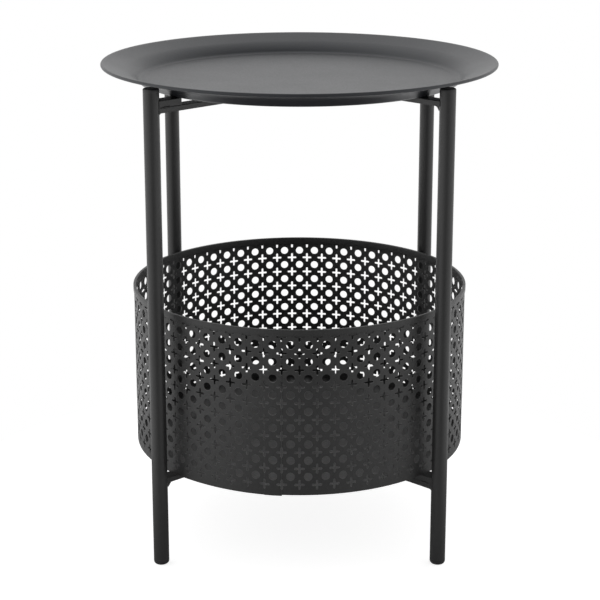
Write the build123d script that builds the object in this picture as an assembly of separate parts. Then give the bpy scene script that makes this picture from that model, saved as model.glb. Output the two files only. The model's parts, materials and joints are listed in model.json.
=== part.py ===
from build123d import *
import math
import os

# Round side table on a folding stand. Two closed leg frames, one inside the
# other, turn about the table's middle. A loose tray lies on the top cross
# bars and a loose round basket stands on the bottom cross bars.
# Millimetres, +Z up, the floor at z = 0, the pivot line on the Z axis,
# the open front of the table towards -Y.

# ---------------------------------------------------------------- dimensions
# Legs: round steel tube with a plastic plug at each end
leg_x = 143.0
leg_y = 131.0
tube_diameter = 16.0
tube_wall = 1.2
leg_top = 498.0
foot_height = 6.0
foot_edge_radius = 3.6
cap_height = 3.6
cap_edge_radius = 1.8
plug_depth = 14.0
plug_clearance = 0.05

# Cross bars: flat steel, crossing one above the other with a washer between
bar_width = 14.0
bar_thickness = 5.5
pivot_gap = 1.5
bar_edge_radius = 0.6
spacer_length = 24.0

# Weld pieces in the corners between a high bar and its legs
top_fillet_reach = 5.6
top_fillet_drop = 4.5
gusset_reach = 4.6
gusset_drop = 5.6
corner_piece_width = 8.0
fillet_hollow = 0.35

# Pivot: M5 countersunk socket screw, washers and nut
screw_diameter = 5.0
screw_head_diameter = 10.0
socket_across_flats = 3.0
socket_depth = 1.6
running_clearance = 0.05
pivot_washer_diameter = 13.0
end_washer_diameter = 10.0
end_washer_thickness = 1.0
nut_across_flats = 8.0
nut_crown_diameter = 9.0
nut_height = 4.0
screw_tip = 1.2
thread_chamfer = 0.5

# Tray: pressed steel dish with a flared lip and a rolled edge
tray_diameter = 410.0
tray_top = 505.0
tray_floor_top = 486.5
tray_sheet = 1.0
tray_floor_radius = 166.0
lip_cone_radius = 183.0
lip_slope = 18.5
tray_hem_radius = 1.7
tray_corner_radius = 6.0

# Basket: rolled sheet wall, flat floor and a folded binding on its top edge
basket_diameter = 353.0
basket_bottom = 95.0
basket_top = 268.0
basket_sheet = 0.8
basket_floor_sheet = 1.0
binding_height = 5.9
binding_inner_height = 8.2
binding_cover = 0.7
binding_inner_cover = 1.5
binding_edge_radius = 0.6

# ------------------------------------------------------------ derived values
tube_radius = tube_diameter / 2
half_span = math.hypot(leg_x, leg_y)
inner_angle = math.degrees(math.atan2(leg_y, leg_x))
outer_angle = -inner_angle

tray_underside = tray_floor_top - tray_sheet
top_high_bar = tray_underside - bar_thickness
top_low_bar = top_high_bar - pivot_gap - bar_thickness
bottom_high_bar = basket_bottom - bar_thickness
bottom_low_bar = bottom_high_bar - pivot_gap - bar_thickness
spacer_height = pivot_gap + bar_thickness
screw_head_drop = (screw_head_diameter - screw_diameter) / 2

tube_bottom = foot_height
tube_top = leg_top - cap_height

os.makedirs("parts", exist_ok=True)


def save(part, name):
    export_step(part, f"parts/{name}.step")


def rod(radius, low, high, x=0.0, y=0.0):
    """An upright solid cylinder from one height to another."""
    middle = (low + high) / 2
    return Pos(x, y, middle) * Cylinder(radius, high - low)


def ring(outer_radius, inner_radius, low, high):
    """An upright plain ring about the Z axis."""
    return rod(outer_radius, low, high) - rod(inner_radius, low - 1, high + 1)


# ---------------------------------------------------------------------- legs
def leg_tube():
    bore = rod(tube_radius - tube_wall, tube_bottom - 1, tube_top + 1)
    return rod(tube_radius, tube_bottom, tube_top) - bore


def foot():
    """Plastic plug with a thick rounded flange that stands on the floor."""
    flange = rod(tube_radius, 0, foot_height)
    flange = fillet(flange.edges().sort_by(Axis.Z)[0], foot_edge_radius)
    plug_radius = tube_radius - tube_wall - plug_clearance
    return flange + rod(plug_radius, foot_height - 1, foot_height + plug_depth)


def leg_cap():
    """Plastic plug with a thin rounded flange on top of a leg."""
    flange = rod(tube_radius, tube_top, leg_top)
    flange = fillet(flange.edges().sort_by(Axis.Z)[-1], cap_edge_radius)
    plug_radius = tube_radius - tube_wall - plug_clearance
    return flange + rod(plug_radius, tube_top - plug_depth, tube_top + 1)


# ---------------------------------------------------------------- cross bars
def legs_at_both_ends():
    """The space the two tubes of a frame take, in the frame's own direction."""
    left = rod(tube_radius, 0, leg_top, -half_span)
    right = rod(tube_radius, 0, leg_top, half_span)
    return left + right


def flat_bar(low):
    """A flat bar from leg to leg, coped to the round of both tubes."""
    middle = low + bar_thickness / 2
    bar = Pos(0, 0, middle) * Box(2 * half_span, bar_width, bar_thickness)
    bar = fillet(bar.edges().filter_by(Axis.X), bar_edge_radius)
    return bar - legs_at_both_ends()


def high_bar(low):
    """Carries the countersunk screw, so its head lies flush."""
    top = low + bar_thickness
    hole = rod(screw_diameter / 2 + running_clearance, low - 1, top + 1)
    return flat_bar(low) - hole - screw_head(top)


def low_bar(low):
    """Turns on the shank of the screw."""
    hole = rod(screw_diameter / 2 + running_clearance, low - 1, low + bar_thickness + 1)
    return flat_bar(low) - hole


def spacer(low, side):
    """Block on a low bar against its leg, level with the top of the high bar."""
    length = spacer_length + tube_radius
    middle = half_span - length / 2
    block = Pos(side * middle, 0, low + spacer_height / 2)
    block = block * Box(length, bar_width, spacer_height)
    block = fillet(block.edges().filter_by(Axis.X), bar_edge_radius)
    return block - legs_at_both_ends()


def corner_piece(under, side, reach, drop, hollow):
    """Weld fillet or gusset in the corner below a high bar, beside a leg."""
    face_of_tube = half_span - tube_radius
    inner = face_of_tube - reach
    with BuildPart() as piece:
        with BuildSketch(Plane.XZ.offset(-corner_piece_width / 2)):
            with BuildLine():
                Line((inner, under), (half_span, under))
                Line((half_span, under), (half_span, under - drop))
                Line((half_span, under - drop), (face_of_tube, under - drop))
                if hollow:
                    bend = (face_of_tube - reach * fillet_hollow, under - drop * fillet_hollow)
                    ThreePointArc((face_of_tube, under - drop), bend, (inner, under))
                else:
                    Line((face_of_tube, under - drop), (inner, under))
            make_face()
        extrude(amount=corner_piece_width)
    solid = piece.part
    if side < 0:
        solid = Rot(0, 0, 180) * solid
    return solid - legs_at_both_ends()


# --------------------------------------------------------------- pivot parts
def screw_head(top):
    cone = Cone(screw_diameter / 2, screw_head_diameter / 2, screw_head_drop)
    return Pos(0, 0, top - screw_head_drop / 2) * cone


def pivot_screw(high_bar_low, low_bar_low):
    top = high_bar_low + bar_thickness
    tip = low_bar_low - end_washer_thickness - nut_height - screw_tip
    shank = rod(screw_diameter / 2, tip, top - socket_depth)
    shank = chamfer(shank.edges().sort_by(Axis.Z)[0], thread_chamfer)
    socket = extrude(RegularPolygon(socket_across_flats / 2, 6, major_radius=False), socket_depth)
    return shank + screw_head(top) - Pos(0, 0, top - socket_depth) * socket


def pivot_washer(low):
    hole = screw_diameter / 2 + running_clearance
    return ring(pivot_washer_diameter / 2, hole, low, low + pivot_gap)


def end_washer(top):
    hole = screw_diameter / 2 + running_clearance
    return ring(end_washer_diameter / 2, hole, top - end_washer_thickness, top)


def nut(top):
    hexagon = RegularPolygon(nut_across_flats / 2, 6, major_radius=False)
    body = Pos(0, 0, top - nut_height) * extrude(hexagon, nut_height)
    crown = rod(nut_crown_diameter / 2, top - nut_height, top)
    crown = chamfer(crown.edges().filter_by(GeomType.CIRCLE), thread_chamfer)
    hole = rod(screw_diameter / 2 + running_clearance, top - nut_height - 1, top + 1)
    return (body & crown) - hole


# ---------------------------------------------------------------------- tray
def lip_bend(start, cone_start):
    """Centre and radius of the bend that leaves the floor's edge and runs on
    smoothly into the straight cone of the lip."""
    slope = math.radians(lip_slope)
    to_start = (start[0] - cone_start[0], start[1] - cone_start[1])
    along_normal = to_start[0] * math.sin(slope) - to_start[1] * math.cos(slope)
    radius = math.hypot(*to_start) ** 2 / (2 * along_normal)
    centre_x = cone_start[0] + radius * math.sin(slope)
    centre_z = cone_start[1] - radius * math.cos(slope)
    return centre_x, centre_z, radius


def tray():
    """Revolved sheet: flat floor, steep bend, straight flared lip, rolled edge."""
    slope = math.radians(lip_slope)
    hem_x = tray_diameter / 2 - tray_hem_radius
    start = (tray_floor_radius, tray_floor_top)
    cone_start = (lip_cone_radius, tray_top - (hem_x - lip_cone_radius) * math.tan(slope))
    centre_x, centre_z, radius = lip_bend(start, cone_start)
    inside = radius - tray_sheet
    lean = tray_sheet * math.sin(slope)
    drop = tray_sheet * math.cos(slope)
    under_start = centre_x - math.sqrt(inside**2 - (tray_underside - centre_z) ** 2)

    def on_bend(curve_radius, from_start, to_end):
        """Point halfway round the bend, on the side of the floor."""
        first = math.atan2(from_start[1] - centre_z, from_start[0] - centre_x)
        last = math.atan2(to_end[1] - centre_z, to_end[0] - centre_x)
        halfway = (first + last) / 2
        x = centre_x + curve_radius * math.cos(halfway)
        return x, centre_z + curve_radius * math.sin(halfway)

    under_cone_start = (cone_start[0] + lean, cone_start[1] - drop)
    under_hem = (hem_x + lean, tray_top - drop)
    under_floor = (under_start, tray_underside)
    with BuildPart() as dish:
        with BuildSketch(Plane.XZ) as profile:
            with BuildLine():
                Line((0, tray_floor_top), start)
                ThreePointArc(start, on_bend(radius, start, cone_start), cone_start)
                Line(cone_start, (hem_x, tray_top))
                Line((hem_x, tray_top), under_hem)
                Line(under_hem, under_cone_start)
                under_middle = on_bend(inside, under_floor, under_cone_start)
                ThreePointArc(under_cone_start, under_middle, under_floor)
                Line(under_floor, (0, tray_underside))
                Line((0, tray_underside), (0, tray_floor_top))
            make_face()
            corners = profile.vertices().sort_by(Axis.X)[2:4]
            fillet(corners, tray_corner_radius)
            with Locations((hem_x, tray_top - tray_hem_radius)):
                Circle(tray_hem_radius)
        revolve(axis=Axis.Z)
    return dish.part


# -------------------------------------------------------------------- basket
basket_radius = basket_diameter / 2
wall_inside = basket_radius - basket_sheet
wall_top = basket_top - binding_cover


def basket_wall():
    return ring(basket_radius, wall_inside, basket_bottom, wall_top)


def basket_floor():
    return rod(wall_inside, basket_bottom, basket_bottom + basket_floor_sheet)


def basket_binding():
    """Strip folded over the top edge of the wall, deeper inside than outside."""
    outer = basket_radius + binding_cover
    inner = wall_inside - binding_inner_cover
    outside = ring(outer, wall_inside, basket_top - binding_height, basket_top)
    inside = ring(wall_inside, inner, basket_top - binding_inner_height, basket_top)
    strip = outside + inside
    rims = strip.edges().filter_by(GeomType.CIRCLE)
    exposed = rims.filter_by(lambda rim: rim.radius in (outer, inner))
    strip = fillet(exposed, binding_edge_radius)
    return strip - ring(basket_radius, wall_inside, basket_bottom, wall_top)


# ------------------------------------------------------------------- writing
frames = {
    "outer": (outer_angle, {"front_right": 1, "back_left": -1}),
    "inner": (inner_angle, {"front_left": -1, "back_right": 1}),
}

for frame_name, (angle, corners) in frames.items():
    turn = Rot(0, 0, angle)
    for corner, side in corners.items():
        at_leg = turn * Pos(side * half_span, 0, 0)
        save(at_leg * leg_tube(), f"{frame_name}_leg_{corner}")
        save(at_leg * foot(), f"{frame_name}_foot_{corner}")
        save(at_leg * leg_cap(), f"{frame_name}_cap_{corner}")

outer_turn = Rot(0, 0, outer_angle)
inner_turn = Rot(0, 0, inner_angle)

save(outer_turn * high_bar(top_high_bar), "outer_top_bar")
save(inner_turn * low_bar(top_low_bar), "inner_top_bar")
save(inner_turn * high_bar(bottom_high_bar), "inner_bottom_bar")
save(outer_turn * low_bar(bottom_low_bar), "outer_bottom_bar")

for corner, side in frames["outer"][1].items():
    low_bar_top = bottom_low_bar + bar_thickness
    fillet_piece = corner_piece(top_high_bar, side, top_fillet_reach, top_fillet_drop, True)
    save(outer_turn * spacer(low_bar_top, side), f"outer_spacer_{corner}")
    save(outer_turn * fillet_piece, f"outer_weld_{corner}")

for corner, side in frames["inner"][1].items():
    low_bar_top = top_low_bar + bar_thickness
    gusset = corner_piece(bottom_high_bar, side, gusset_reach, gusset_drop, False)
    save(inner_turn * spacer(low_bar_top, side), f"inner_spacer_{corner}")
    save(inner_turn * gusset, f"inner_gusset_{corner}")

pivots = {
    "top": (top_high_bar, top_low_bar, outer_turn),
    "bottom": (bottom_high_bar, bottom_low_bar, inner_turn),
}

for place, (high, low, turn) in pivots.items():
    save(turn * pivot_screw(high, low), f"{place}_pivot_screw")
    save(turn * pivot_washer(low + bar_thickness), f"{place}_pivot_washer")
    save(turn * end_washer(low), f"{place}_end_washer")
    save(turn * nut(low - end_washer_thickness), f"{place}_pivot_nut")

save(tray(), "tray")
save(basket_wall(), "basket_wall")
save(basket_floor(), "basket_floor")
save(basket_binding(), "basket_binding")
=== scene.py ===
import json
import math

import bmesh
import bpy
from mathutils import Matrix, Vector


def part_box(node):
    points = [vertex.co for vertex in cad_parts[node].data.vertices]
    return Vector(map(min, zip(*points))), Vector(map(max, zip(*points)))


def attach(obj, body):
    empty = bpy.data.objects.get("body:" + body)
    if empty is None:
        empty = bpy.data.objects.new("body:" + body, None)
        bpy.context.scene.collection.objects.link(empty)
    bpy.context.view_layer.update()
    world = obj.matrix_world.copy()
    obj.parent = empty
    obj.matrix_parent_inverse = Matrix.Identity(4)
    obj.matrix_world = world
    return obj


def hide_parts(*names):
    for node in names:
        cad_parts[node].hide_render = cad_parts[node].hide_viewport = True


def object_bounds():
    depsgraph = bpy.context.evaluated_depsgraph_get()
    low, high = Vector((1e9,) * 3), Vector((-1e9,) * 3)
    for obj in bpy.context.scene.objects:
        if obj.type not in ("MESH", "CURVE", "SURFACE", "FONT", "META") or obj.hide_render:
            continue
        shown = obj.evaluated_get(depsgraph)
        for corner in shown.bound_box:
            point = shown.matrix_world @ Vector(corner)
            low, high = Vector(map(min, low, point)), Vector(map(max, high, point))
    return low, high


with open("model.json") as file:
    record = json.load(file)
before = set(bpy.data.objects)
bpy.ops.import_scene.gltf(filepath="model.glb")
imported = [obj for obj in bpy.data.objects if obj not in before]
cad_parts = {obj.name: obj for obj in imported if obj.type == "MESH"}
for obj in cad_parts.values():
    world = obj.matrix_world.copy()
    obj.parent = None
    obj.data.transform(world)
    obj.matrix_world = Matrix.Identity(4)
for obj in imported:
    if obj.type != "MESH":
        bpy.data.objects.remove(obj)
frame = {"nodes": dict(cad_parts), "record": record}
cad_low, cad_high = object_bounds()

# Round side table on a folding stand, in metres, +Z up, its open front towards -Y.
# Both frames, their plugs and the pivots are the CAD nodes with finished materials.
# The tray, the perforated basket wall, its lap seam and its binding are built here.

MM = 0.001
nodes = frame["nodes"]
mounts = {mount["name"]: mount for mount in frame["record"]["mounts"]}

# ------------------------------------------------------------------ dimensions
# Tray section
TRAY_SEGMENTS = 288
TRAY_SHEET = 1.0 * MM
TRAY_FLOOR_RADIUS = 166.0 * MM
LIP_CONE_RADIUS = 183.0 * MM
LIP_SLOPE = math.radians(18.5)
TRAY_HEM_RADIUS = 1.7 * MM
TRAY_HEM_END = math.radians(-205)
TRAY_CORNER_LENGTH = 3.6 * MM
TRAY_CORNER_RISE = 0.7
TRAY_CORNER_STEPS = 10
LIP_BEND_STEPS = 20
LIP_CONE_STEPS = 8
HEM_STEPS = 22
TRAY_FLOOR_RINGS = (0.25, 0.5, 0.75, 0.93)
TRAY_SHARP_DEGREES = 35

# Basket wall: rows of round holes and rows of plus-shaped holes between them
HOLE_COLUMNS = 63
ROW_PITCH = 17.2 * MM
FIRST_PLUS_BELOW_TOP = 7.0 * MM
PLUS_ROWS = 10
ROUND_HOLE_RADIUS = 4.25 * MM
ROUND_HOLE_POINTS = 20
PLUS_REACH = 5.25 * MM
PLUS_HALF_WIDTH = 1.12 * MM
PLUS_INNER_CORNER = 1.35
EDGE_STEPS = 3
WALL_SHEET = 0.8 * MM

# Lap seam of the wall: one column wide, left of the front, hanging a little low
LAP_COLUMN = -1.5
LAP_SHEET = 0.65 * MM
LAP_DROP = 0.8 * MM
LAP_EASE_COLUMNS = 4

# Binding of the wall's top edge
BINDING_INNER_COVER = 1.5 * MM
BINDING_OUTER_HEIGHT = 5.9 * MM
BINDING_EDGE_RADIUS = 0.5 * MM
BINDING_SHARP_DEGREES = 40

# How far in from an edge the paint is rubbed
EDGE_WEAR_REACH = 0.9 * MM

# Weld beads where the flat bars meet the legs
LEG_RADIUS = 8.0 * MM
BAR_WIDTH = 14.0 * MM
BEAD_RADIUS = 1.1 * MM
BEAD_RIPPLE = 0.16
BEAD_RIPPLE_LENGTH = 1.9 * MM
BEAD_STEP = 0.35 * MM
BEAD_SIDES = 10
BEAD_TAPER_STEPS = 4
BEAD_TIP = 0.25
SEAM_WELD_LENGTH = 9.0 * MM

# Brightness of the room: beyond the table, behind the viewer, at the left and right,
# and the share of it that is left overhead
BACK_LIGHT = 1.06
FRONT_LIGHT = 0.27
LEFT_LIGHT = 1.34
RIGHT_LIGHT = 1.15
TOP_SHARE = 0.80
TOP_BOX_PLACE = (-0.5, 0.5, 2.2)
TOP_BOX_SIDE = 1.6
TOP_BOX_WATTS = 4
FLOOR_RADIUS = 0.42
FLOOR_POINTS = 96
FLOOR_GLOW = 0.8

# Camera: two paces in front of the table, above it, looking down a little
CAMERA_PLACE = (0.0, -1.7525, 0.7786)
CAMERA_PITCH = math.radians(15.18)
CAMERA_LENS = 102.2
CAMERA_SHIFT = (0.0009, -0.087)


# ---------------------------------------------------------------- mesh helpers
def mesh_object(name, points, faces):
    """A smooth-shaded object in the scene."""
    mesh = bpy.data.meshes.new(name)
    mesh.from_pydata(points, [], faces)
    mesh.validate()
    mesh.update()
    made = bpy.data.objects.new(name, mesh)
    bpy.context.scene.collection.objects.link(made)
    mesh.shade_smooth()
    return made


def sharpen(made, degrees):
    """Edges that turn more than this many degrees keep a crisp shading break."""
    mesh = made.data
    limit = math.cos(math.radians(degrees))
    touching = {}
    for face in mesh.polygons:
        for key in face.edge_keys:
            touching.setdefault(key, []).append(face.normal.copy())
    sharp = mesh.attributes.new("sharp_edge", "BOOLEAN", "EDGE")
    flags = []
    for edge in mesh.edges:
        sides = touching[edge.key]
        flags.append(len(sides) != 2 or sides[0].dot(sides[1]) < limit)
    sharp.data.foreach_set("value", flags)


def lathe(name, profile, segments, sharp_degrees):
    """Turns a closed profile of (radius, height) points about the Z axis. It runs
    anticlockwise in the radius-height plane. A point at radius 0 becomes one pole."""
    points = []
    rings = []
    for radius, height in profile:
        if radius < 1e-9:
            rings.append([len(points)] * segments)
            points.append((0.0, 0.0, height))
            continue
        start = len(points)
        rings.append(list(range(start, start + segments)))
        for i in range(segments):
            angle = 2 * math.pi * i / segments
            points.append((radius * math.cos(angle), radius * math.sin(angle), height))
    faces = []
    for here, there in zip(rings, rings[1:] + rings[:1]):
        for i in range(segments):
            j = (i + 1) % segments
            corners = [here[i], here[j], there[j], there[i]]
            corners = [c for n, c in enumerate(corners) if c != corners[n - 1]]
            if len(corners) > 2:
                faces.append(corners)
    made = mesh_object(name, points, faces)
    sharpen(made, sharp_degrees)
    return made


def arc_points(centre, radius, start, end, count):
    """Points on an arc from one angle to another, both ends included."""
    made = []
    for i in range(count + 1):
        angle = start + (end - start) * i / count
        x = centre[0] + radius * math.cos(angle)
        made.append((x, centre[1] + radius * math.sin(angle)))
    return made


# ------------------------------------------------------------------- materials
class Graph:
    """A material's node graph, with the object's own coordinates to hand. Noise
    scales are in features per metre."""

    def __init__(self, name):
        self.material = bpy.data.materials.new(name)
        self.material.use_nodes = True
        self.tree = self.material.node_tree
        self.tree.nodes.clear()
        self.output = self.tree.nodes.new("ShaderNodeOutputMaterial")
        self.shader = self.tree.nodes.new("ShaderNodeBsdfPrincipled")
        self.link(self.shader.outputs["BSDF"], self.output.inputs["Surface"])
        self.place = self.tree.nodes.new("ShaderNodeTexCoord").outputs["Object"]

    def link(self, source, target):
        self.tree.links.new(source, target)

    def noise(self, scale, detail=2.0, roughness=0.5):
        node = self.tree.nodes.new("ShaderNodeTexNoise")
        node.inputs["Scale"].default_value = scale
        node.inputs["Detail"].default_value = detail
        node.inputs["Roughness"].default_value = roughness
        self.link(self.place, node.inputs["Vector"])
        return node.outputs["Fac"]

    def spread(self, source, low, high, from_low=0.3, from_high=0.7):
        """Stretches a 0..1 pattern to run from low to high."""
        node = self.tree.nodes.new("ShaderNodeMapRange")
        node.inputs["From Min"].default_value = from_low
        node.inputs["From Max"].default_value = from_high
        node.inputs["To Min"].default_value = low
        node.inputs["To Max"].default_value = high
        self.link(source, node.inputs["Value"])
        return node.outputs["Result"]

    def math(self, operation, first, second):
        node = self.tree.nodes.new("ShaderNodeMath")
        node.operation = operation
        self.link(first, node.inputs[0])
        self.link(second, node.inputs[1])
        return node.outputs["Value"]

    def sum(self, first, second):
        return self.math("ADD", first, second)

    def blend(self, factor, first, second):
        """Runs from first to second with the factor. Each is a colour or a socket."""
        node = self.tree.nodes.new("ShaderNodeMix")
        node.data_type = "RGBA"
        for socket, colour in ((node.inputs[6], first), (node.inputs[7], second)):
            if isinstance(colour, tuple):
                socket.default_value = (*colour, 1.0)
            else:
                self.link(colour, socket)
        self.link(factor, node.inputs["Factor"])
        return node.outputs[2]

    def worn_edges(self, reach):
        """Patches along outside edges, 1 where most rubbed and 0 on the faces: the
        normal of a rounded edge leans away from the surface's own there."""
        rounded = self.tree.nodes.new("ShaderNodeBevel")
        rounded.samples = 4
        rounded.inputs["Radius"].default_value = reach
        surface = self.tree.nodes.new("ShaderNodeNewGeometry")
        lean = self.tree.nodes.new("ShaderNodeVectorMath")
        lean.operation = "DOT_PRODUCT"
        self.link(rounded.outputs["Normal"], lean.inputs[0])
        self.link(surface.outputs["Normal"], lean.inputs[1])
        edge = self.spread(lean.outputs["Value"], 1.0, 0.0, 0.72, 0.97)
        patches = self.spread(self.noise(130.0, 4.0), 0.15, 1.0, 0.4, 0.6)
        return self.math("MULTIPLY", edge, patches)

    def bump(self, height, distance, strength=1.0, under=None):
        node = self.tree.nodes.new("ShaderNodeBump")
        node.inputs["Strength"].default_value = strength
        node.inputs["Distance"].default_value = distance
        self.link(height, node.inputs["Height"])
        if under is not None:
            self.link(under, node.inputs["Normal"])
        return node.outputs["Normal"]


def powder_coat(name, dark, light, rubbed, roughness, grain, mottle, tint=(1.0, 1.0, 1.0)):
    """Baked powder paint: fine orange peel with a faintly cloudy tone and gloss,
    paler and a little polished along the edges. Grain scales the orange peel's
    depth, and mottle is the spread of the roughness."""
    g = Graph(name)
    wear = g.worn_edges(EDGE_WEAR_REACH)
    clouds = g.noise(9.0, 3.0)
    speckle = g.noise(600.0, 4.0, 0.7)
    tone = g.sum(g.spread(clouds, 0.0, 0.45), g.spread(speckle, 0.0, 0.55))
    g.link(g.blend(wear, g.blend(tone, dark, light), rubbed), g.shader.inputs["Base Color"])
    satin = g.sum(
        g.spread(g.noise(22.0, 3.0), roughness - mottle, roughness + mottle),
        g.spread(g.noise(700.0), -0.03, 0.03),
    )
    g.link(g.sum(satin, g.spread(wear, 0.0, -0.06, 0.0, 1.0)), g.shader.inputs["Roughness"])
    peel = g.bump(g.noise(420.0, 2.0), grain * 0.09 * MM)
    pores = g.bump(g.noise(1300.0, 2.0), grain * 0.045 * MM, under=peel)
    g.link(pores, g.shader.inputs["Normal"])
    g.shader.inputs["Specular Tint"].default_value = (*tint, 1.0)
    return g.material


def moulded_plastic(name, dark, light, rubbed):
    """Matt black polyethylene with a spark-eroded mould texture, scuffed at the edges."""
    g = Graph(name)
    wear = g.worn_edges(EDGE_WEAR_REACH)
    tone = g.spread(g.noise(160.0, 4.0), 0.0, 1.0)
    g.link(g.blend(wear, g.blend(tone, dark, light), rubbed), g.shader.inputs["Base Color"])
    matt = g.spread(g.noise(60.0, 2.0), 0.42, 0.56)
    g.link(g.sum(matt, g.spread(wear, 0.0, 0.1, 0.0, 1.0)), g.shader.inputs["Roughness"])
    g.link(g.bump(g.noise(1600.0, 3.0), 0.05 * MM), g.shader.inputs["Normal"])
    return g.material


def zinc_plate(name):
    """Bright zinc on turned steel: fine spangle, faint blue and straw tints, and
    duller edges where a tool has been."""
    g = Graph(name)
    wear = g.worn_edges(EDGE_WEAR_REACH / 2)
    tint = g.spread(g.noise(220.0, 3.0), 0.0, 1.0)
    plated = g.blend(tint, (0.55, 0.57, 0.61), (0.66, 0.64, 0.58))
    g.link(g.blend(wear, plated, (0.42, 0.41, 0.40)), g.shader.inputs["Base Color"])
    brightness = g.spread(g.noise(900.0, 3.0), 0.24, 0.42)
    g.link(g.sum(brightness, g.spread(wear, 0.0, 0.12, 0.0, 1.0)), g.shader.inputs["Roughness"])
    g.link(g.bump(g.noise(1400.0, 2.0), 0.02 * MM), g.shader.inputs["Normal"])
    g.shader.inputs["Metallic"].default_value = 1.0
    return g.material


def pale_floor(name):
    """White studio paper, overexposed for the viewer as in a catalogue picture."""
    g = Graph(name)
    tone = g.spread(g.noise(3.0, 4.0), 0.0, 1.0)
    g.link(g.blend(tone, (0.60, 0.60, 0.60), (0.62, 0.62, 0.62)), g.shader.inputs["Base Color"])
    g.link(g.spread(g.noise(40.0), 0.85, 0.95), g.shader.inputs["Roughness"])
    g.shader.inputs["Specular IOR Level"].default_value = 0.0
    g.shader.inputs["Emission Color"].default_value = (FLOOR_GLOW, FLOOR_GLOW, FLOOR_GLOW, 1.0)
    seen = g.tree.nodes.new("ShaderNodeLightPath").outputs["Is Camera Ray"]
    g.link(seen, g.shader.inputs["Emission Strength"])
    return g.material


FRAME_TONES = (0.018, 0.018, 0.018), (0.030, 0.030, 0.030), (0.095, 0.095, 0.094)
TRAY_TONES = (0.018, 0.019, 0.022), (0.023, 0.024, 0.028), (0.075, 0.076, 0.080)
BASKET_TONES = (0.012, 0.012, 0.012), (0.032, 0.032, 0.032), (0.110, 0.110, 0.109)
COOL_TINT = (0.95, 0.975, 1.0)
frame_paint = powder_coat("frame_paint", *FRAME_TONES, 0.40, 1.7, 0.03)
tray_paint = powder_coat("tray_paint", *TRAY_TONES, 0.385, 1.0, 0.012, COOL_TINT)
basket_paint = powder_coat("basket_paint", *BASKET_TONES, 0.44, 2.4, 0.03)
PLASTIC_TONES = (0.018, 0.018, 0.019), (0.026, 0.026, 0.027), (0.070, 0.070, 0.071)
plug_plastic = moulded_plastic("plug_plastic", *PLASTIC_TONES)
zinc = zinc_plate("zinc")

finishes = {
    "frame_steel": frame_paint,
    "tray_steel": tray_paint,
    "basket_steel": basket_paint,
    "end_plug_plastic": plug_plastic,
    "zinc_hardware": zinc,
}


def finish_part(made, slot):
    """Gives a mesh the finish of its material slot in place of what it had."""
    made.data.materials.clear()
    made.data.materials.append(finishes[slot])


for entry in frame["record"]["subparts"]:
    finish_part(nodes[entry["node"]], entry["material_slot"])


def add_piece(made, body, slot, replaced=()):
    """Finishes a piece, ties it to its body and hides the nodes it stands in for."""
    finish_part(made, slot)
    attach(made, body)
    if replaced:
        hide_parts(*replaced)


# ------------------------------------------------------------------------ tray
def curve_points(start, middle, end, count):
    """Points on a curve that leaves start towards middle and comes from middle
    into end, both ends included."""
    made = []
    for i in range(count + 1):
        t = i / count
        weights = ((1 - t) ** 2, 2 * t * (1 - t), t * t)
        corners = (start, middle, end)
        made.append(tuple(sum(w * p[k] for w, p in zip(weights, corners)) for k in (0, 1)))
    return made


def lip_bend(floor_top, cone_height):
    """Centre and radius of the bend in the tray's upper face. It leaves the edge
    of the floor and runs on smoothly into the cone."""
    sine, cosine = math.sin(LIP_SLOPE), math.cos(LIP_SLOPE)
    back = (TRAY_FLOOR_RADIUS - LIP_CONE_RADIUS, floor_top - cone_height)
    radius = math.hypot(*back) ** 2 / (2 * (back[0] * sine - back[1] * cosine))
    return (LIP_CONE_RADIUS + radius * sine, cone_height - radius * cosine), radius


def tray_face(centre, radius, height, cone_length):
    """One face of the sheet, from the edge of the floor to the end of the cone.
    The foot of the bend is rounded into the floor."""
    foot = centre[0] - math.sqrt(radius**2 - (height - centre[1]) ** 2)
    after_x = foot + TRAY_CORNER_LENGTH * TRAY_CORNER_RISE
    after = (after_x, centre[1] + math.sqrt(radius**2 - (after_x - centre[0]) ** 2))
    before = (foot - TRAY_CORNER_LENGTH, height)
    made = curve_points(before, (foot, height), after, TRAY_CORNER_STEPS)
    first = math.acos((after_x - centre[0]) / radius)
    made += arc_points(centre, radius, first, math.pi / 2 + LIP_SLOPE, LIP_BEND_STEPS)[1:]
    x, z = made[-1]
    for i in range(1, LIP_CONE_STEPS + 1):
        along = cone_length * i / LIP_CONE_STEPS
        made.append((x + math.cos(LIP_SLOPE) * along, z + math.sin(LIP_SLOPE) * along))
    return made


def tray_profile():
    """Section of the dish, anticlockwise: underside outwards, round the rolled
    edge, then back along the top to the middle."""
    low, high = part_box("tray")
    floor_top = mounts["tray_floor_face"]["pos_m"][2]
    hem = (high.x - TRAY_HEM_RADIUS, high.z - TRAY_HEM_RADIUS)
    cone_width = hem[0] - LIP_CONE_RADIUS
    cone_height = high.z - cone_width * math.tan(LIP_SLOPE)
    cone_length = cone_width / math.cos(LIP_SLOPE)
    centre, radius = lip_bend(floor_top, cone_height)

    under = tray_face(centre, radius - TRAY_SHEET, low.z, cone_length)[:-1]
    over = tray_face(centre, radius, floor_top, cone_length)
    rolled_edge = arc_points(hem, TRAY_HEM_RADIUS, TRAY_HEM_END, math.pi / 2, HEM_STEPS)
    under_floor = [(under[0][0] * share, low.z) for share in TRAY_FLOOR_RINGS]
    over_floor = [(over[0][0] * share, floor_top) for share in TRAY_FLOOR_RINGS]
    profile = [(0.0, low.z)] + under_floor + under + rolled_edge[:-1]
    return profile + over[::-1] + over_floor[::-1] + [(0.0, floor_top)]


tray = lathe("tray_dish", tray_profile(), TRAY_SEGMENTS, TRAY_SHARP_DEGREES)
add_piece(tray, "tray", "tray_steel", ["tray"])


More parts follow.
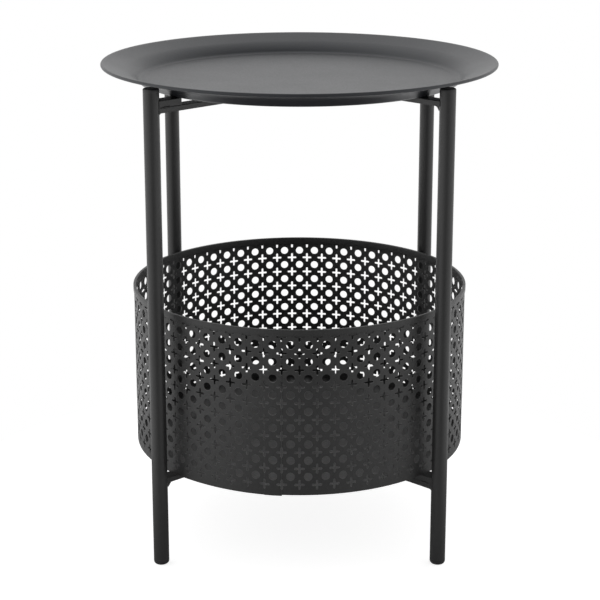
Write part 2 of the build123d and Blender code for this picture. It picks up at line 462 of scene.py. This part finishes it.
# ----------------------------------------------------------------- basket wall
wall_low, wall_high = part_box("basket_wall")
binding_low, binding_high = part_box("basket_binding")
WALL_RADIUS = wall_high.x
COLUMN_PITCH = 2 * math.pi * WALL_RADIUS / HOLE_COLUMNS
FIRST_PLUS_HEIGHT = binding_high.z - FIRST_PLUS_BELOW_TOP

# Points nearer than a cell's pitch divided by this are one point
POINT_STEPS = 120000


class Sheet:
    """A flat pattern of cells with holes. A point is (across, up): the distance
    round the wall from the front, and the height."""

    def __init__(self, wrap):
        self.wrap = wrap
        self.points = []
        self.faces = []
        self.index = {}

    def point(self, across, up):
        across_key = round(across / COLUMN_PITCH * POINT_STEPS)
        if self.wrap:
            across_key %= HOLE_COLUMNS * POINT_STEPS
        key = (across_key, round(up / ROW_PITCH * POINT_STEPS))
        if key not in self.index:
            self.index[key] = len(self.points)
            self.points.append((across, up))
        return self.index[key]

    def fan(self, middle, rim):
        """Triangles from one point to each step of a line of points."""
        hub = self.point(*middle)
        edge = [self.point(*p) for p in rim]
        for a, b in zip(edge, edge[1:]):
            if len({hub, a, b}) == 3:
                self.faces.append((hub, a, b))

    def ring(self, middle, hole, rim):
        """Triangles between a hole's outline and the outline of its cell, both
        anticlockwise and both seen in full from the middle."""

        def angle(p):
            return math.atan2(p[1] - middle[1], p[0] - middle[0]) % (2 * math.pi)

        inner = sorted(hole, key=angle)
        outer = sorted(rim, key=angle)
        i = j = 0
        while i < len(inner) or j < len(outer):
            a = inner[i % len(inner)]
            b = outer[j % len(outer)]
            next_a = inner[(i + 1) % len(inner)]
            next_b = outer[(j + 1) % len(outer)]
            turn_a = angle(next_a) + (2 * math.pi if i + 1 >= len(inner) else 0)
            turn_b = angle(next_b) + (2 * math.pi if j + 1 >= len(outer) else 0)
            corners = [self.point(*a), self.point(*b)]
            if j >= len(outer) or (i < len(inner) and turn_a <= turn_b):
                self.faces.append((corners[0], corners[1], self.point(*next_a)))
                i += 1
            else:
                self.faces.append((corners[0], corners[1], self.point(*next_b)))
                j += 1


def round_hole(middle):
    """Points round a hole, anticlockwise."""
    made = []
    for i in range(ROUND_HOLE_POINTS):
        angle = 2 * math.pi * (i + 0.5) / ROUND_HOLE_POINTS
        across = middle[0] + ROUND_HOLE_RADIUS * math.cos(angle)
        made.append((across, middle[1] + ROUND_HOLE_RADIUS * math.sin(angle)))
    return made


def plus_hole(middle):
    """A plus with round arm ends and slightly eased inner corners."""
    arm = []
    for degrees in (-90, -45, 0, 45, 90):
        angle = math.radians(degrees)
        along = PLUS_REACH - PLUS_HALF_WIDTH + PLUS_HALF_WIDTH * math.cos(angle)
        arm.append((along, PLUS_HALF_WIDTH * math.sin(angle)))
    arm.append((PLUS_HALF_WIDTH * PLUS_INNER_CORNER, PLUS_HALF_WIDTH))
    arm.append((PLUS_HALF_WIDTH, PLUS_HALF_WIDTH * PLUS_INNER_CORNER))
    made = []
    for quarter in range(4):
        c, s = round(math.cos(quarter * math.pi / 2)), round(math.sin(quarter * math.pi / 2))
        for x, y in arm:
            made.append((middle[0] + x * c - y * s, middle[1] + x * s + y * c))
    return made


def grid_point(column, row):
    """A corner of the half-pitch grid. Columns count round the wall from the middle
    of the front, and rows count down from the first row of plus holes."""
    up = FIRST_PLUS_HEIGHT - row * ROW_PITCH / 2
    return column * COLUMN_PITCH / 2, min(up, wall_high.z)


def between(start, end):
    """Points from start up to but without end. Both directions of an edge give
    the same points, so neighbouring cells share them."""
    made = []
    for step in range(EDGE_STEPS):
        share = step / EDGE_STEPS
        made.append(tuple(s + (e - s) * share for s, e in zip(start, end)))
    return made


def diamond(column, row):
    """The outline of one cell, anticlockwise."""
    corners = [
        grid_point(column + 1, row),
        grid_point(column, row - 1),
        grid_point(column - 1, row),
        grid_point(column, row + 1),
    ]
    outline = []
    for start, end in zip(corners, corners[1:] + corners[:1]):
        outline += between(start, end)
    return outline


def fill_top(sheet, column):
    """The gap between two plus cells along the upper edge."""
    right, middle, left = [grid_point(column + step, -1) for step in (1, 0, -1)]
    valley = grid_point(column, 0)
    sheet.fan(middle, between(left, valley) + between(valley, right) + [right])


def fill_bottom(sheet, column, last_row):
    """The gap between two plus cells along the lower edge, with the plain strip."""
    left, right = grid_point(column - 1, last_row + 1), grid_point(column + 1, last_row + 1)
    valley = grid_point(column, last_row)
    foot_right, foot, foot_left = [(p[0], wall_low.z) for p in (right, valley, left)]
    slopes = between(right, valley) + between(valley, left) + [left]
    sheet.fan(foot, [foot_right] + slopes + [foot_left])


def perforated(sheet, columns):
    """Fills the given half-pitch columns with diamond cells. Even columns have plus
    holes in even rows, and odd columns have round holes in odd rows."""
    last_row = 2 * (PLUS_ROWS - 1)
    for column in columns:
        odd = column % 2
        for row in range(odd, last_row + 1, 2):
            middle = grid_point(column, row)
            hole = round_hole(middle) if odd else plus_hole(middle)
            sheet.ring(middle, hole, diamond(column, row))
        if odd:
            fill_top(sheet, column)
            fill_bottom(sheet, column, last_row)


def trim(sheet, low_across, high_across):
    """Keeps the part of a flat sheet between two upright lines."""
    work = bmesh.new()
    corners = [work.verts.new((x, y, 0)) for x, y in sheet.points]
    for face in sheet.faces:
        work.faces.new([corners[i] for i in face])
    for line, outward in ((low_across, -1), (high_across, 1)):
        everything = work.verts[:] + work.edges[:] + work.faces[:]
        bmesh.ops.bisect_plane(
            work, geom=everything, plane_co=(line, 0, 0), plane_no=(outward, 0, 0),
            dist=1e-7, clear_outer=True,
        )
    loose = [v for v in work.verts if not v.link_faces]
    bmesh.ops.delete(work, geom=loose, context="VERTS")
    work.verts.index_update()
    sheet.points = [(v.co.x, v.co.y) for v in work.verts]
    sheet.faces = [tuple(v.index for v in face.verts) for face in work.faces]
    work.free()


def rolled_normals(mesh, radial):
    """Corner normals: straight out on the outer face, straight in on the inner
    face and flat on the cut edges. The first half of the points are the outer."""
    count = len(radial)
    made = []
    for face in mesh.polygons:
        outer = all(i < count for i in face.vertices)
        inner = all(i >= count for i in face.vertices)
        for i in face.vertices:
            if outer:
                made.append(radial[i])
            elif inner:
                made.append(tuple(-v for v in radial[i - count]))
            else:
                made.append(tuple(face.normal))
    return made


def rolled(name, sheet, outer_radius, thickness, sag):
    """Rolls a flat sheet round the Z axis and gives it its thickness. The front is
    at across = 0, and across grows to the right seen from the front."""
    count = len(sheet.points)
    radial = []
    for across, up in sheet.points:
        angle = across / WALL_RADIUS - math.pi / 2
        radial.append((math.cos(angle), math.sin(angle), 0.0))
    points = []
    for radius in (outer_radius, outer_radius - thickness):
        for (across, up), out in zip(sheet.points, radial):
            points.append((radius * out[0], radius * out[1], up - sag(across, up)))
    edges = set()
    for face in sheet.faces:
        edges.update(zip(face, face[1:] + face[:1]))
    outside = [tuple(face) for face in sheet.faces]
    inside = [tuple(i + count for i in reversed(face)) for face in sheet.faces]
    rims = [(b, a, a + count, b + count) for a, b in sorted(edges) if (b, a) not in edges]
    made = mesh_object(name, points, outside + inside + rims)
    made.data.normals_split_custom_set(rolled_normals(made.data, radial))
    return made


lap_left = COLUMN_PITCH * (LAP_COLUMN - 0.5)
lap_right = COLUMN_PITCH * (LAP_COLUMN + 0.5)


def wall_sag(across, up):
    """Left of the lap the lower edge hangs a little low and eases off backwards."""
    if up > wall_low.z + 1e-6 or across > lap_left + 1e-6:
        return 0.0
    return LAP_DROP * max(0.0, 1 - (lap_left - across) / (COLUMN_PITCH * LAP_EASE_COLUMNS))


def lap_sag(across, up):
    """The whole lower edge of the lap hangs low."""
    return LAP_DROP if up < wall_low.z + 1e-6 else 0.0


def column_range():
    """Every half-pitch column once, from the back left round by the front. The
    front column is 0, and the odd one at the back has round holes."""
    return range(-HOLE_COLUMNS + 1, HOLE_COLUMNS + 1)


wall_sheet = Sheet(wrap=True)
perforated(wall_sheet, column_range())
wall = rolled("basket_perforated_wall", wall_sheet, WALL_RADIUS, WALL_SHEET, wall_sag)
add_piece(wall, "basket", "basket_steel", ["basket_wall"])

lap_sheet = Sheet(wrap=False)
perforated(lap_sheet, range(round(2 * LAP_COLUMN) - 1, round(2 * LAP_COLUMN) + 2))
trim(lap_sheet, lap_left, lap_right)
lap = rolled("basket_lap_seam", lap_sheet, WALL_RADIUS + LAP_SHEET, LAP_SHEET, lap_sag)
add_piece(lap, "basket", "basket_steel")


# --------------------------------------------------------------------- binding
def binding_profile():
    """Section of the strip folded over the wall's top edge, anticlockwise."""
    outer = binding_high.x
    inner = wall_high.x - WALL_SHEET - BINDING_INNER_COVER
    top, inner_low = binding_high.z, binding_low.z
    outer_low = top - BINDING_OUTER_HEIGHT
    edge = BINDING_EDGE_RADIUS
    outside = arc_points((outer - edge, outer_low + edge), edge, -math.pi / 2, 0, 3)
    outside += arc_points((outer - edge, top - edge), edge, 0, math.pi / 2, 5)
    inside = arc_points((inner + edge, top - edge), edge, math.pi / 2, math.pi, 5)
    inside += arc_points((inner + edge, inner_low + edge), edge, math.pi, 1.5 * math.pi, 3)
    slot = [
        (wall_high.x - WALL_SHEET, inner_low),
        (wall_high.x - WALL_SHEET, wall_high.z),
        (wall_high.x, wall_high.z),
        (wall_high.x, outer_low),
    ]
    return outside + inside + slot


BINDING_SEGMENTS = 4 * HOLE_COLUMNS
strip = lathe("basket_top_binding", binding_profile(), BINDING_SEGMENTS, BINDING_SHARP_DEGREES)
add_piece(strip, "basket", "basket_steel", ["basket_binding"])


# ------------------------------------------------------------------ weld beads
def bar_outline(low, high, closed_below):
    """Points round the end of a flat bar, as (sideways, height). A high bar has a
    corner piece below it, so its bead runs down one side, over and down the other."""
    half = BAR_WIDTH / 2 - BEAD_RADIUS * 0.2
    corners = [(half, low), (half, high), (-half, high), (-half, low)]
    if closed_below:
        corners.append((half, low))
    made = []
    for start, end in zip(corners, corners[1:]):
        steps = max(2, round(math.dist(start, end) / BEAD_STEP))
        for i in range(steps):
            made.append(tuple(s + (e - s) * i / steps for s, e in zip(start, end)))
    if not closed_below:
        made.append(corners[-1])
    return made


def bead(name, path, facing, closed=False):
    """A rippled string of weld along a path, its crest towards facing. A closed one
    goes round, and an open one tapers at both ends."""
    count = len(path)
    points, faces = [], []
    travelled = 0.0
    for i, place in enumerate(path):
        after = path[(i + 1) % count] if closed else path[min(i + 1, count - 1)]
        before = path[i - 1] if closed else path[max(i - 1, 0)]
        along = (after - before).normalized()
        outwards = (facing - along * facing.dot(along)).normalized()
        across = along.cross(outwards)
        travelled += (place - path[i - 1]).length if i else 0.0
        ripple = abs(math.sin(math.pi * travelled / BEAD_RIPPLE_LENGTH))
        to_end = BEAD_TIP + min(i, count - 1 - i) / BEAD_TAPER_STEPS
        taper = 1.0 if closed else min(1.0, to_end)
        radius = BEAD_RADIUS * (1 - BEAD_RIPPLE + BEAD_RIPPLE * ripple) * taper
        for k in range(BEAD_SIDES):
            angle = 2 * math.pi * k / BEAD_SIDES
            points.append(place + (outwards * math.cos(angle) + across * math.sin(angle)) * radius)
    for i in range(count if closed else count - 1):
        row, next_row = i * BEAD_SIDES, (i + 1) % count * BEAD_SIDES
        for k in range(BEAD_SIDES):
            m = (k + 1) % BEAD_SIDES
            faces.append((row + k, row + m, next_row + m, next_row + k))
    if not closed:
        last = (count - 1) * BEAD_SIDES
        faces.append(tuple(reversed(range(BEAD_SIDES))))
        faces.append(tuple(range(last, last + BEAD_SIDES)))
    return mesh_object(name, [tuple(p) for p in points], faces)


def end_bead(name, centre, inwards, low, high, closed_below):
    """The weld where a bar's end meets the round of its leg."""
    sideways = Vector((-inwards.y, inwards.x, 0))
    path = []
    for side, height in bar_outline(low, high, closed_below):
        reach = math.sqrt(LEG_RADIUS**2 - side**2)
        path.append(centre + inwards * reach + sideways * side + Vector((0, 0, height)))
    return bead(name, path, inwards, closed_below)


def seam_beads(name, centre, inwards, seam_height):
    """Short welds that hold a spacer down on its bar, one on each side."""
    sideways = Vector((-inwards.y, inwards.x, 0))
    steps = round(SEAM_WELD_LENGTH / BEAD_STEP)
    for side, word in ((-1, "left"), (1, "right")):
        start = centre + inwards * (LEG_RADIUS + BEAD_RADIUS) + sideways * (side * BAR_WIDTH / 2)
        start.z = seam_height
        path = [start + inwards * (i * BEAD_STEP) for i in range(steps + 1)]
        yield bead(f"{name}_{word}", path, sideways * side)


def weld_frame(frame_name, corners):
    """A bead at both ends of both bars of one frame. A low bar and the spacer on
    it are welded round together."""
    for corner in corners:
        low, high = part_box(f"{frame_name}_leg_{corner}")
        centre = Vector(((low.x + high.x) / 2, (low.y + high.y) / 2, 0))
        inwards = -centre.normalized()
        for level in ("top", "bottom"):
            bar_low, bar_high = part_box(f"{frame_name}_{level}_bar")
            spaced = frame_name == ("inner" if level == "top" else "outer")
            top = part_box(f"{frame_name}_spacer_{corner}")[1].z if spaced else bar_high.z
            name = f"{frame_name}_{level}_bead_{corner}"
            made = end_bead(name, centre, inwards, bar_low.z, top, spaced)
            add_piece(made, f"{frame_name}_frame", "frame_steel")
            if spaced:
                seam = f"{frame_name}_{level}_seam_{corner}"
                for made in seam_beads(seam, centre, inwards, bar_high.z):
                    add_piece(made, f"{frame_name}_frame", "frame_steel")


weld_frame("outer", ("front_right", "back_left"))
weld_frame("inner", ("front_left", "back_right"))


# ----------------------------------------------------------------------- stage
def pale_stage():
    """A round sheet of paper under the table. The room goes on white around it."""
    rim = arc_points((0.0, 0.0), FLOOR_RADIUS, 0, 2 * math.pi, FLOOR_POINTS)[:-1]
    corners = [(x, y, cad_low.z) for x, y in rim]
    floor = mesh_object("floor", corners, [tuple(range(FLOOR_POINTS))])
    floor.data.materials.append(pale_floor("studio_paper"))


def soft_surroundings():
    """A white room, bright behind and at both sides, dim overhead and dark in front
    of the table, where the viewer stands."""
    world = bpy.data.worlds.new("white_room")
    bpy.context.scene.world = world
    world.use_nodes = True
    tree = world.node_tree
    tree.nodes.clear()
    place = tree.nodes.new("ShaderNodeTexCoord")
    split = tree.nodes.new("ShaderNodeSeparateXYZ")
    tree.links.new(place.outputs["Generated"], split.inputs["Vector"])

    def ramp(axis, start, end, low, high):
        node = tree.nodes.new("ShaderNodeMapRange")
        node.inputs["From Min"].default_value = start
        node.inputs["From Max"].default_value = end
        node.inputs["To Min"].default_value = low
        node.inputs["To Max"].default_value = high
        tree.links.new(split.outputs[axis], node.inputs["Value"])
        return node.outputs["Result"]

    def math_node(operation, first, second):
        node = tree.nodes.new("ShaderNodeMath")
        node.operation = operation
        tree.links.new(first, node.inputs[0])
        tree.links.new(second, node.inputs[1])
        return node.outputs["Value"]

    depth = ramp("Y", -0.3, 0.5, FRONT_LIGHT, BACK_LIGHT)
    left = ramp("X", -0.05, -1.0, FRONT_LIGHT, LEFT_LIGHT)
    right = ramp("X", 0.2, 1.0, FRONT_LIGHT, RIGHT_LIGHT)
    walls = math_node("MAXIMUM", depth, math_node("MAXIMUM", left, right))
    overhead = ramp("Z", 0.3, 0.95, 1.0, TOP_SHARE)
    room = math_node("MULTIPLY", walls, overhead)
    light = tree.nodes.new("ShaderNodeBackground")
    tree.links.new(room, light.inputs["Strength"])
    light.inputs["Color"].default_value = (1.0, 1.0, 1.0, 1.0)
    seen = tree.nodes.new("ShaderNodeBackground")
    seen.inputs["Color"].default_value = (1.0, 1.0, 1.0, 1.0)
    ray = tree.nodes.new("ShaderNodeLightPath")
    mix = tree.nodes.new("ShaderNodeMixShader")
    tree.links.new(ray.outputs["Is Camera Ray"], mix.inputs["Fac"])
    tree.links.new(light.outputs["Background"], mix.inputs[1])
    tree.links.new(seen.outputs["Background"], mix.inputs[2])
    output = tree.nodes.new("ShaderNodeOutputWorld")
    tree.links.new(mix.outputs["Shader"], output.inputs["Surface"])


def top_box():
    """A large soft light above and beyond the table, aimed at its middle."""
    target = Vector((0, 0, (cad_low.z + cad_high.z) / 2))
    light = bpy.data.lights.new("top_box", "AREA")
    light.shape = "SQUARE"
    light.size = TOP_BOX_SIDE
    light.energy = TOP_BOX_WATTS
    made = bpy.data.objects.new("top_box", light)
    made.location = TOP_BOX_PLACE
    made.rotation_euler = (target - Vector(TOP_BOX_PLACE)).to_track_quat("-Z", "Y").to_euler()
    bpy.context.scene.collection.objects.link(made)


def camera():
    """The viewer's place, in front of the open side of the table."""
    data = bpy.data.cameras.new("view")
    data.sensor_width = 36.0
    data.lens = CAMERA_LENS
    data.shift_x, data.shift_y = CAMERA_SHIFT
    made = bpy.data.objects.new("view", data)
    made.location = CAMERA_PLACE
    made.rotation_euler = (math.pi / 2 - CAMERA_PITCH, 0.0, 0.0)
    bpy.context.scene.collection.objects.link(made)
    bpy.context.scene.camera = made


pale_stage()
soft_surroundings()
top_box()
camera()
bpy.context.scene.view_settings.view_transform = "Standard"
